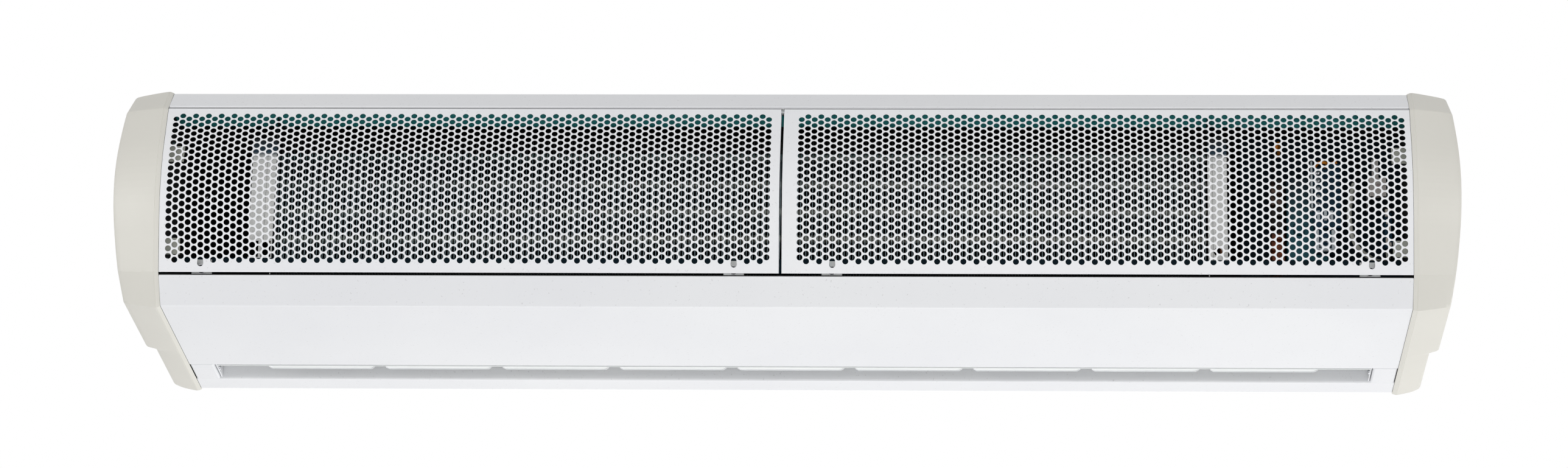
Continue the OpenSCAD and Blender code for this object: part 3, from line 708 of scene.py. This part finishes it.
def perforated_panel(node, side):
    """One intake panel: drawn flat, folded at its ends, bent to the curve and given its wall."""
    low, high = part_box(node)
    first_x = FIRST_COLUMN[node]
    bm = bmesh.new()
    panel_columns(bm, first_x, [sign * x for x in CATCH_X for sign in (-1, 1)
                                if low.x < sign * x < high.x])
    bmesh.ops.remove_doubles(bm, verts=bm.verts, dist=1e-5)
    # The outer end comes up to the cap but for a hairline
    spare = 0.58 * MM
    ends = (low.x - (spare if side > 0 else 0), high.x + (spare if side < 0 else 0))
    for edge, end in zip((first_x - COLUMN / 2, first_x + COLUMN * (COLUMNS - 0.5)), ends):
        into = 1 if end < edge else -1
        x, depth = edge, 0.0
        for run, deep in (*END_BEND, (0.0, FOLD / MM)):
            place = (end + into * run * MM, deep * MM)
            rim_moved(bm, x, depth, *place)
            x, depth = place
    for v in bm.verts:
        v.co = panel_point(v.co.x, v.co.y, v.co.z)
    bmesh.ops.recalc_face_normals(bm, faces=bm.faces)
    if sum(f.normal.y * f.calc_area() for f in bm.faces) > 0:
        bmesh.ops.reverse_faces(bm, faces=bm.faces)
    # The hole walls and cut edges take the painted shade
    return piece(node + "_sheet", bm, WHITE, node, wall=SHEET, edge=HOLE_WALL_SHADE)


perforated_panel("grille_left", 1)
perforated_panel("grille_right", -1)


# ---- End caps ----

CAP_WALL = 2.5 * MM
CAP_PROUD = 2 * MM
# Across the rim: distance from the body's end, and depth below the cap's widest outline
CAP_RIM = ((0.0, 1.7), (0.3, 1.45), (1.0, 1.15), (2.4, 0.6), (3.8, 0.12), (4.3, 0.0), (4.6, 0.25),
           (4.9, 0.25))
CAP_FACE_X = 5.2 * MM
CAP_STEP_Y = (0.028, 0.040)
CAP_REACH = (51.5 * MM, 32.5 * MM)
CAP_CROWN = (8.5 * MM, 1 * MM)
CAP_GAP = {1: 0.15 * MM, -1: 0.1 * MM}
# Height of the crown's top, and the height over which it falls by CAP_CROWN
CROWN_Z = 0.130
CROWN_HALF = 0.107
# The face's draft: inset in millimetres at which it reaches 1 mm out, and its power
CAP_DRAFT = (0.095, 0.87)
REAR_Y = 0.160
REAR_R = 6 * MM
# Power by which the draft and the crown blend into each other
CAP_BLEND = 14
# Rings drawn inside the outline, and cuts across the face, in millimetres
CAP_RINGS = (0.1, 0.3, 0.6, 1.0, 1.2, 1.4, 1.4, 1.4, 1.6, 2.0, 2.5)
CAP_CUTS_Y = (-140, -110, -80, -50, -20, 0, 14, 24, *range(27, 42), 44, 50, 60, 90, 120, 145, 158,
              160, 162, 163.5, 164.7, 165.6, 166.2)
CAP_CUTS_Z = range(8, 248, 8)


def body_profile():
    """Side view of the painted body: top, sloping strip, panels and fascia, out past the wall."""
    wall = cad_box[1].y
    sheet_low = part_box("bottom_panel")[0].z
    sheet_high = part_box("top_cover")[1].z
    past = wall + 0.06
    points = [Vector((past, sheet_high)), Vector((STRIP_TOP[0], sheet_high))]
    steps = 12
    bend = [LOWER_FLAT + ARC_LENGTH * (1 - k / steps) for k in range(steps + 1)]
    points += [panel_point(0, s).yz for s in (PANEL_LENGTH, *bend, 0)]
    return points + [Vector((FASCIA_FOOT[0], sheet_low)), Vector((past, sheet_low))]


def grown(points, distance):
    """A convex counter-clockwise outline moved outwards by distance."""
    made = []
    for i, p in enumerate(points):
        before = (p - points[i - 1]).normalized()
        after = (points[(i + 1) % len(points)] - p).normalized()
        n1, n2 = Vector((before.y, -before.x)), Vector((after.y, -after.x))
        made.append(p + distance * (n1 + n2) / (1 + n1.dot(n2)))
    return made


def depth_inside(outline, y, z):
    """Distance from (y, z) to the nearest side of a convex outline."""
    place = Vector((y, z))
    found = 1.0
    for i, p in enumerate(outline):
        way = (p - outline[i - 1]).normalized()
        found = min(found, (place - p).dot(Vector((-way.y, way.x))))
    return max(found, 0.0)


def cap_height(outline, y, z):
    """How far a cap's face reaches beyond the body at (y, z)."""
    step = min(max((y - CAP_STEP_Y[0]) / (CAP_STEP_Y[1] - CAP_STEP_Y[0]), 0), 1)
    step = step * step * (3 - 2 * step)
    reach = CAP_REACH[0] + (CAP_REACH[1] - CAP_REACH[0]) * step
    crown = CAP_CROWN[0] + (CAP_CROWN[1] - CAP_CROWN[0]) * step
    inside = max(depth_inside(outline, y, z) - 1e-6, 0)
    scale, power = CAP_DRAFT
    side = CAP_FACE_X + (inside / MM / scale) ** power * MM / (1 + 0.4 * step)
    top = reach - crown * ((z - CROWN_Z) / CROWN_HALF) ** 2
    # The rear outer corner is rounded towards the wall
    rear = min(max(y - REAR_Y, 0), REAR_R)
    top -= REAR_R - math.sqrt(REAR_R ** 2 - rear ** 2)
    return (side ** -CAP_BLEND + top ** -CAP_BLEND) ** (-1 / CAP_BLEND)


def inwards(outline, y, z):
    """The way in from a point on a convex outline, mitred at its corners."""
    place = Vector((y, z))
    ways = []
    for i, p in enumerate(outline):
        way = (p - outline[i - 1]).normalized()
        normal = Vector((-way.y, way.x))
        if abs((place - p).dot(normal)) < 2e-6:
            ways.append(normal)
    if len(ways) == 1:
        return ways[0]
    return (ways[0] + ways[-1]) / (1 + ways[0].dot(ways[-1]))


def end_cap(side):
    node = "end_cap_right" if side > 0 else "end_cap_left"
    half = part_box("top_cover")[1].x
    wall = cad_box[1].y
    outline = grown(body_profile(), CAP_PROUD)
    bm = bmesh.new()
    face = bm.faces.new([bm.verts.new((0, p.x, p.y)) for p in outline])
    for inset in CAP_RINGS:
        bmesh.ops.inset_individual(bm, faces=[face], thickness=inset * MM, use_even_offset=True)
    cuts = [((0, y * MM, 0), (0, 1, 0)) for y in CAP_CUTS_Y]
    cuts += [((0, 0, z * MM), (0, 0, 1)) for z in CAP_CUTS_Z]
    for place, normal in cuts:
        bmesh.ops.bisect_plane(bm, geom=bm.verts[:] + bm.edges[:] + bm.faces[:], dist=1e-7,
                               plane_co=place, plane_no=normal)
    bmesh.ops.bisect_plane(bm, geom=bm.verts[:] + bm.edges[:] + bm.faces[:], dist=1e-7,
                           plane_co=(0, wall, 0), plane_no=(0, 1, 0), clear_outer=True)
    for v in bm.verts:
        v.co.x = half + cap_height(outline, v.co.y, v.co.z)
    # The rim goes back to the body over a fine groove and a rounded edge
    level = half + CAP_FACE_X
    edge = [e for e in bm.edges if e.is_boundary
            and all(depth_inside(outline, v.co.y, v.co.z) < 1e-6 for v in e.verts)]
    home = {v: (v.co.yz, inwards(outline, v.co.y, v.co.z)) for e in edge for v in e.verts}
    for x, deep in reversed(CAP_RIM):
        new = bmesh.ops.extrude_edge_only(bm, edges=edge)["geom"]
        edge = [g for g in new if isinstance(g, bmesh.types.BMEdge)]
        ring = [g for g in new if isinstance(g, bmesh.types.BMVert)]
        came = {v: next(home[e.other_vert(v)] for e in v.link_edges if e.other_vert(v) in home)
                for v in ring}
        for v, (flat, way) in came.items():
            place = flat + way * deep * MM
            v.co = (half + max(x * MM, CAP_GAP[side]), place.x, place.y)
        home = came
    rear = [e for e in bm.edges if e.is_boundary
            and all(abs(v.co.y - wall) < 1e-6 for v in e.verts)]
    bmesh.ops.contextual_create(bm, geom=rear)
    if side < 0:
        bmesh.ops.scale(bm, verts=bm.verts, vec=(-1, 1, 1))
    merged(bm)
    return piece(node + "_shell", bm, CREAM, node, wall=CAP_WALL,
                 thin=lambda co: abs(co.x) < level - 1e-6)


end_cap(1)
end_cap(-1)


# ---- Screws, catches and hems ----

def stood(bm, place, way):
    """Turns a shape made round the Z axis to point along way, and moves it to place."""
    bmesh.ops.rotate(bm, verts=bm.verts, cent=(0, 0, 0),
                     matrix=Vector((0, 0, 1)).rotation_difference(Vector(way)).to_matrix())
    bmesh.ops.translate(bm, verts=bm.verts, vec=Vector(place) * MM)


def lathe(profile, place, way, steps=20):
    """A closed solid of revolution in a bmesh of its own: pairs of radius and height in
    millimetres, from one end of the axis to the other, set at place with its axis along way."""
    bm = bmesh.new()
    verts = [bm.verts.new((r * MM, 0, h * MM)) for r, h in profile]
    edges = [bm.edges.new(pair) for pair in zip(verts, verts[1:])]
    bmesh.ops.spin(bm, geom=verts + edges, cent=(0, 0, 0), axis=(0, 0, 1), angle=2 * math.pi,
                   steps=steps, use_merge=True)
    merged(bm)
    stood(bm, place, way)
    return bm


def joined(parts):
    """One bmesh out of several, which are used up."""
    whole = bmesh.new()
    for part in parts:
        mesh = bpy.data.meshes.new("part")
        part.to_mesh(mesh)
        part.free()
        whole.from_mesh(mesh)
        bpy.data.meshes.remove(mesh)
    return whole


def screw(place, way, head_r, head_h, shank_r, shank_l):
    """A pan-head screw with a cross recess, its head's seat at place and its head along way."""
    profile = [(0, head_h), (head_r * 0.28, head_h), (head_r * 0.6, head_h * 0.95),
               (head_r * 0.9, head_h * 0.7), (head_r, head_h * 0.35), (head_r, 0), (shank_r, 0),
               (shank_r, -shank_l + 0.4), (shank_r - 0.4, -shank_l), (0, -shank_l)]
    bm = lathe(profile, (0, 0, 0), (0, 0, 1), steps=16)
    for v in bm.verts:
        turn = math.degrees(math.atan2(v.co.y, v.co.x)) % 90
        in_arm = v.co.xy.length < head_r * 0.62 * MM and (turn < 4 or turn > 86)
        if v.co.z > head_h * 0.9 * MM and (in_arm or v.co.xy.length < 1e-6):
            v.co.z -= head_h * 0.5 * MM
    stood(bm, place, way)
    return bm


# Runs of fins: middle of the first, spacing and number, in millimetres
FIN_RUNS = ((-549.772, 3.236, 169), (-3.2, 3.16, 144))


def heater_fins():
    """The whole pack of thin plates, each with its front edge folded to a narrow hem."""
    low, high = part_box("heater_fins")
    hem = low.y + HEM_DEEP
    section = [(-FIN_HALF, high.y), (-FIN_HALF, hem), (-HEM_HALF, hem), (-HEM_HALF, low.y)]
    section += [(-x, y) for x, y in reversed(section)]
    fin = bmesh.new()
    face = fin.faces.new([fin.verts.new((x, y, low.z)) for x, y in section])
    up = bmesh.ops.extrude_face_region(fin, geom=[face], use_keep_orig=True)["geom"]
    bmesh.ops.translate(fin, verts=[g for g in up if isinstance(g, bmesh.types.BMVert)],
                        vec=(0, 0, high.z - low.z))
    bmesh.ops.recalc_face_normals(fin, faces=fin.faces)
    mesh = bpy.data.meshes.new("fin")
    fin.to_mesh(mesh)
    fin.free()
    bm = bmesh.new()
    for first, spacing, number in FIN_RUNS:
        for i in range(number):
            before = len(bm.verts)
            bm.from_mesh(mesh)
            bm.verts.ensure_lookup_table()
            bmesh.ops.translate(bm, verts=bm.verts[before:],
                                vec=((first + spacing * i) * MM, 0, 0))
    bpy.data.meshes.remove(mesh)
    piece("heater_fin_pack", bm, FIN, "heater_fins")


# Cap screws in each end wall and the screw in each cheek, as Y and Z in millimetres
CAP_SCREWS = ((-105, 190), (-100, 60), (125, 215), (125, 40))
CHEEK_SCREW = (105.5, 6.8)


def body_screws():
    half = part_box("top_cover")[1].x / MM
    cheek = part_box("outlet_cheek_right")[0].x / MM
    parts = []
    for side in (-1, 1):
        for place in CAP_SCREWS:
            parts.append(screw((side * half, *place), (-side, 0, 0), 4, 2.4, 2, 14))
        parts.append(screw((side * cheek, *CHEEK_SCREW), (-side, 0, 0), 2.7, 2.2, 1.2, 1))
    piece("body_screws_cut", joined(parts), STEEL, "body_screws")


def on_panel(x, s, depth):
    return panel_point(x * MM, s * MM, depth * MM) / MM


def catch_magnets():
    cups, cores = [], []
    for x in (side * x / MM for side in (-1, 1) for x in CATCH_X):
        place = on_panel(x, 3.2, 5.1)
        way = (on_panel(x, 3.2, 0) - place).normalized()
        cups.append(lathe([(0, 0), (5, 0), (5, 3.4), (4.6, 3.6), (4.2, 3.4), (4.2, 1), (0, 1)],
                          place, way))
        cups.append(lathe([(0, 2.6), (0, 3.5), (1.1, 3.4), (1.5, 3.0), (1.5, 2.6), (0, 2.6)],
                          place, way, 12))
        cores.append(lathe([(0, 1), (4.1, 1), (4.1, 2.7), (3.9, 2.9), (0, 2.9)], place, way))
    piece("catch_magnet_cores", joined(cores), FERRITE, "catch_magnets")
    piece("catch_magnet_cups", joined(cups), STEEL, "catch_magnets", False)


def strip_return():
    """The fold under the sloping strip's lower edge, which closes the seam above the panels."""
    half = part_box("top_cover")[1].x / MM
    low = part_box("grille_left")[1].z / MM + 1.3
    front, back, sheet, gap = -143.6, -136, 0.6, 0.2
    bm = bmesh.new()
    block(bm, (gap - half, front, low), (half - gap, back, low + sheet))
    piece("strip_return", bm, WHITE, "top_cover", False)


def tab_hems():
    """The bright turned-down edge round each tab of the nozzle's front wall."""
    tabs, pitch, root, tip, reach, root_y, hem, drop = 9, 129.8, 59, 55, 7, 90, 0.5, 0.8
    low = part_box("outlet_guide")[0].z / MM
    bm = bmesh.new()
    for i in range(tabs):
        x = (i - (tabs - 1) / 2) * pitch
        path = [(-root, 0.3), (-tip, reach), (tip, reach), (root, 0.3)]
        outer = [bm.verts.new(Vector((x + a, root_y + b, low)) * MM) for a, b in path]
        inner = [bm.verts.new(Vector((x + a * 0.992, root_y + b - hem, low)) * MM)
                 for a, b in path]
        faces = [bm.faces.new((outer[k], outer[k + 1], inner[k + 1], inner[k])) for k in range(3)]
        up = bmesh.ops.extrude_face_region(bm, geom=faces)["geom"]
        bmesh.ops.translate(bm, verts=[g for g in up if isinstance(g, bmesh.types.BMVert)],
                            vec=(0, 0, -drop * MM))
    merged(bm)
    piece("guide_tab_hems", bm, WHITE, "outlet_guide", False)


heater_fins()
body_screws()
catch_magnets()
strip_return()
tab_hems()


# ---- Electrics ----

ROUTE_STEPS = 6


def smooth_route(points):
    """A smooth cubic line through the points, in millimetres."""
    made = []
    for i in range(len(points) - 1):
        a, b, c, d = (Vector(points[min(max(i + k, 0), len(points) - 1)]) for k in (-1, 0, 1, 2))
        for k in range(ROUTE_STEPS):
            t = k / ROUTE_STEPS
            made.append(0.5 * (2 * b + t * (c - a) + t * t * (2 * a - 5 * b + 4 * c - d)
                               + t ** 3 * (3 * b - a - 3 * c + d)))
    return made + [Vector(points[-1])]


def tube(points, radius):
    """A round lead along a route."""
    curve = bpy.data.curves.new("lead", "CURVE")
    curve.dimensions = "3D"
    curve.bevel_depth = radius * MM
    curve.bevel_resolution = 3
    curve.use_fill_caps = True
    spline = curve.splines.new("POLY")
    route = smooth_route(points)
    spline.points.add(len(route) - 1)
    for point, place in zip(spline.points, route):
        point.co = (*(place * MM), 1)
    carrier = bpy.data.objects.new("lead", curve)
    mesh = bpy.data.meshes.new_from_object(carrier)
    bm = bmesh.new()
    bm.from_mesh(mesh)
    bpy.data.objects.remove(carrier)
    bpy.data.curves.remove(curve)
    bpy.data.meshes.remove(mesh)
    merged(bm)
    return bm


BOARD_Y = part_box("electrics_plate")[0].y / MM
CASE_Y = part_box("contactor")[0].y / MM
FRONT_Y = -72.0


def leads():
    orange = [tube([(527.5, -44, 168.3), (527, -46, 176), (525.5, -62, 190), (526.5, -72, 201),
                    (529, -70, 208), (530.5, -58, 211), (531.5, -40, 211), (532, -22.6, 211)], 1.8),
              tube([(569, -66, 180.5), (569, -66.2, 183), (572, -70, 185.6), (578, -71, 185.8),
                    (583, -66, 185.4), (585, -56, 185), (584.5, -42, 187), (583.5, -32, 188),
                    (583.5, -22.6, 188)], 1.6),
              tube([(591, -65, 180.5), (591, -67, 184.5), (590, -68, 187), (588, -60, 189),
                    (584, -44, 192), (580, -30, 194), (578, -22.6, 195)], 2)]
    piece("orange_leads_round", joined(orange), ORANGE_SLEEVE, "orange_leads")
    pale = tube([(646, -50, 90.6), (646, -50.3, 84), (641, -59, 77), (633, -68, 74),
                 (624, -72, 77.5), (613, -72, 87), (606.5, -72, 101), (604, -72, 118),
                 (604.2, -72, 131), (606.5, -72, 148), (610, -70, 163), (614, -64, 178),
                 (613, -50, 194), (608, -36, 203), (607, -28, 204.5), (607, -22.6, 204.5)], 2.6)
    piece("pale_lead_round", pale, PALE_SLEEVE, "pale_lead")


def terminal_housing():
    """Dark blue moulding with a column of screw pockets and ribs beside them."""
    bm = bmesh.new()
    block(bm, (566, FRONT_Y + 3, 112), (595, CASE_Y, 180))
    block(bm, (582, CASE_Y, 112), (595, BOARD_Y, 180))
    pocket_z, pocket_pitch, screw_z, screw_pitch = 134.2, 8.8, 138.2, 9.05
    for k in range(6):
        z = pocket_z + pocket_pitch * k
        block(bm, (566, FRONT_Y, z), (577.5, FRONT_Y + 3.4, z + 1.6))
        block(bm, (581, FRONT_Y + 0.6, z + 1), (595, FRONT_Y + 3.4, z + 6.2))
    block(bm, (576.2, FRONT_Y, pocket_z), (577.5, FRONT_Y + 3.4, 179.8))
    eased(bm, 0.4 * MM)
    piece("terminal_housing", bm, BLUE_PLASTIC, "terminal_block", True)
    screws = [screw((571, FRONT_Y + 3, screw_z + screw_pitch * k), (0, -1, 0), 2.9, 2.2, 1.2, 2)
              for k in range(5)]
    strip = bmesh.new()
    block(strip, (563.4, FRONT_Y - 2, 133), (565.3, CASE_Y, 171))
    block(strip, (563.4, FRONT_Y - 2, 171), (565.3, FRONT_Y + 6, 186))
    for x in (569.5, 577, 583.6):
        block(strip, (x, FRONT_Y, 119.5), (x + 3, FRONT_Y + 3.4, 130.5))
    eased(strip, 0.3 * MM)
    piece("terminal_screws", joined(screws), STEEL, "terminal_block", False)
    piece("terminal_strips", strip, WHITE_PLASTIC, "terminal_block", False)


def connectors():
    """The white-edged connector below the terminals, and the small one with lugs painted bright as
    glints.
    """
    body = bmesh.new()
    block(body, (567, FRONT_Y + 2, 84), (588, CASE_Y, 108))
    eased(body, 0.5 * MM)
    piece("terminal_connector", body, BLUE_PLASTIC, "terminal_block", False)
    rim = bmesh.new()
    for low, high in (((567.4, 84), (570.9, 107.6)), ((584.4, 84), (587.8, 107.6)),
                      ((570.9, 84), (584.4, 87))):
        block(rim, (low[0], FRONT_Y - 2, low[1]), (high[0], FRONT_Y + 2.6, high[1]))
    eased(rim, 0.5 * MM)
    ring = lathe([(2.9, 0), (2.9, 4), (3.5, 4.4), (5.6, 4.4), (6.1, 4), (6.1, 0), (2.9, 0)],
                 (577.6, FRONT_Y + 2.4, 92.5), (0, -1, 0), 24)
    piece("terminal_connector_rim", joined([rim, ring]), WHITE_PLASTIC, "terminal_block", False)
    small = bmesh.new()
    block(small, (642, FRONT_Y + 8, 91), (650, BOARD_Y, 131))
    eased(small, 0.8 * MM)
    piece("small_connector", small, BLUE_PLASTIC, "terminal_block", False)
    # Lugs painted warm white as glints on the clear connector
    lugs = bmesh.new()
    for x, z, wide, tall in ((642.6, 126, 3.4, 8), (643.6, 117.5, 3, 5), (645.2, 109.5, 3, 5),
                             (642.6, 96, 2.4, 5), (646, 92, 2.6, 4)):
        block(lugs, (x, FRONT_Y + 4.6, z), (x + wide, FRONT_Y + 9, z + tall))
    eased(lugs, 0.3 * MM)
    piece("small_connector_glint_lugs", lugs, LUG_GLINT_PLASTIC, "terminal_block", False)


leads()
terminal_housing()
connectors()


# ---- Floor, light and background ----

FLOOR_Z = -2.3
# The white background's strength as a light; to the camera and in reflections it is 1
WORLD_LIGHT = 0.45
# Name, place, what it points at, width and height, and watts
LAMPS = (("left_lamp", (-3.4, -3.9, 0.1), (0, 0, 0.12), (2.4, 1.6), 53),
         ("right_lamp", (3.8, -3.9, 0.1), (0, 0, 0.12), (2.4, 1.6), 52),
         ("low_lamp", (0, 1.4, -2.1), (0, 0.05, 0.0), (3.0, 1.4), 44),
         ("rim_lamp", (3.3, 1.3, -1.2), (0.6, 0.1, 0.1), (1.0, 1.0), 30),
         ("front_lamp", (0.2, -5.3, -2.0), (0, 0, 0.12), (1.6, 1.0), 46))


def add_floor():
    bm = bmesh.new()
    bmesh.ops.create_grid(bm, x_segments=1, y_segments=1, size=30)
    mesh = bpy.data.meshes.new("floor")
    bm.to_mesh(mesh)
    bm.free()
    s = Shade("floor_paper")
    s.set(base_color=s.mix(s.noise(2), rgb(240, 240, 240), rgb(243, 243, 243)), roughness=0.9)
    # Seen from below, the floor lets the view through
    under = s.node("ShaderNodeNewGeometry", output="Backfacing")
    clear = s.node("ShaderNodeBsdfTransparent")
    paper = Value(s, s.surface.outputs[0])
    mixed = s.node("ShaderNodeMixShader", values={0: under, 1: paper, 2: clear})
    s.fill(s.tree.nodes["Material Output"], {"Surface": mixed})
    mesh.materials.append(s.material)
    floor = bpy.data.objects.new("floor", mesh)
    floor.location.z = FLOOR_Z
    bpy.context.scene.collection.objects.link(floor)


def add_lamp(name, place, target, size, watts):
    data = bpy.data.lights.new(name, "AREA")
    data.shape = "RECTANGLE"
    data.size, data.size_y = size
    data.energy = watts
    lamp = bpy.data.objects.new(name, data)
    lamp.location = place
    lamp.rotation_euler = (Vector(target) - Vector(place)).to_track_quat("-Z", "Y").to_euler()
    bpy.context.scene.collection.objects.link(lamp)


def add_world():
    world = bpy.data.worlds.new("studio")
    bpy.context.scene.world = world
    world.use_nodes = True
    tree = world.node_tree
    back = tree.nodes["Background"]
    back.inputs["Color"].default_value = (1, 1, 1, 1)
    path = tree.nodes.new("ShaderNodeLightPath")
    seen = tree.nodes.new("ShaderNodeMath")
    seen.operation = "MAXIMUM"
    tree.links.new(path.outputs["Is Camera Ray"], seen.inputs[0])
    both = tree.nodes.new("ShaderNodeMath")
    both.operation = "MAXIMUM"
    tree.links.new(path.outputs["Is Glossy Ray"], both.inputs[0])
    tree.links.new(path.outputs["Is Transmission Ray"], both.inputs[1])
    tree.links.new(both.outputs[0], seen.inputs[1])
    strength = tree.nodes.new("ShaderNodeMapRange")
    strength.inputs["To Min"].default_value = WORLD_LIGHT
    strength.inputs["To Max"].default_value = 1.0
    tree.links.new(seen.outputs[0], strength.inputs["Value"])
    tree.links.new(strength.outputs[0], back.inputs["Strength"])


add_floor()
add_world()
for lamp in LAMPS:
    add_lamp(*lamp)

bpy.context.scene.view_settings.view_transform = "Standard"
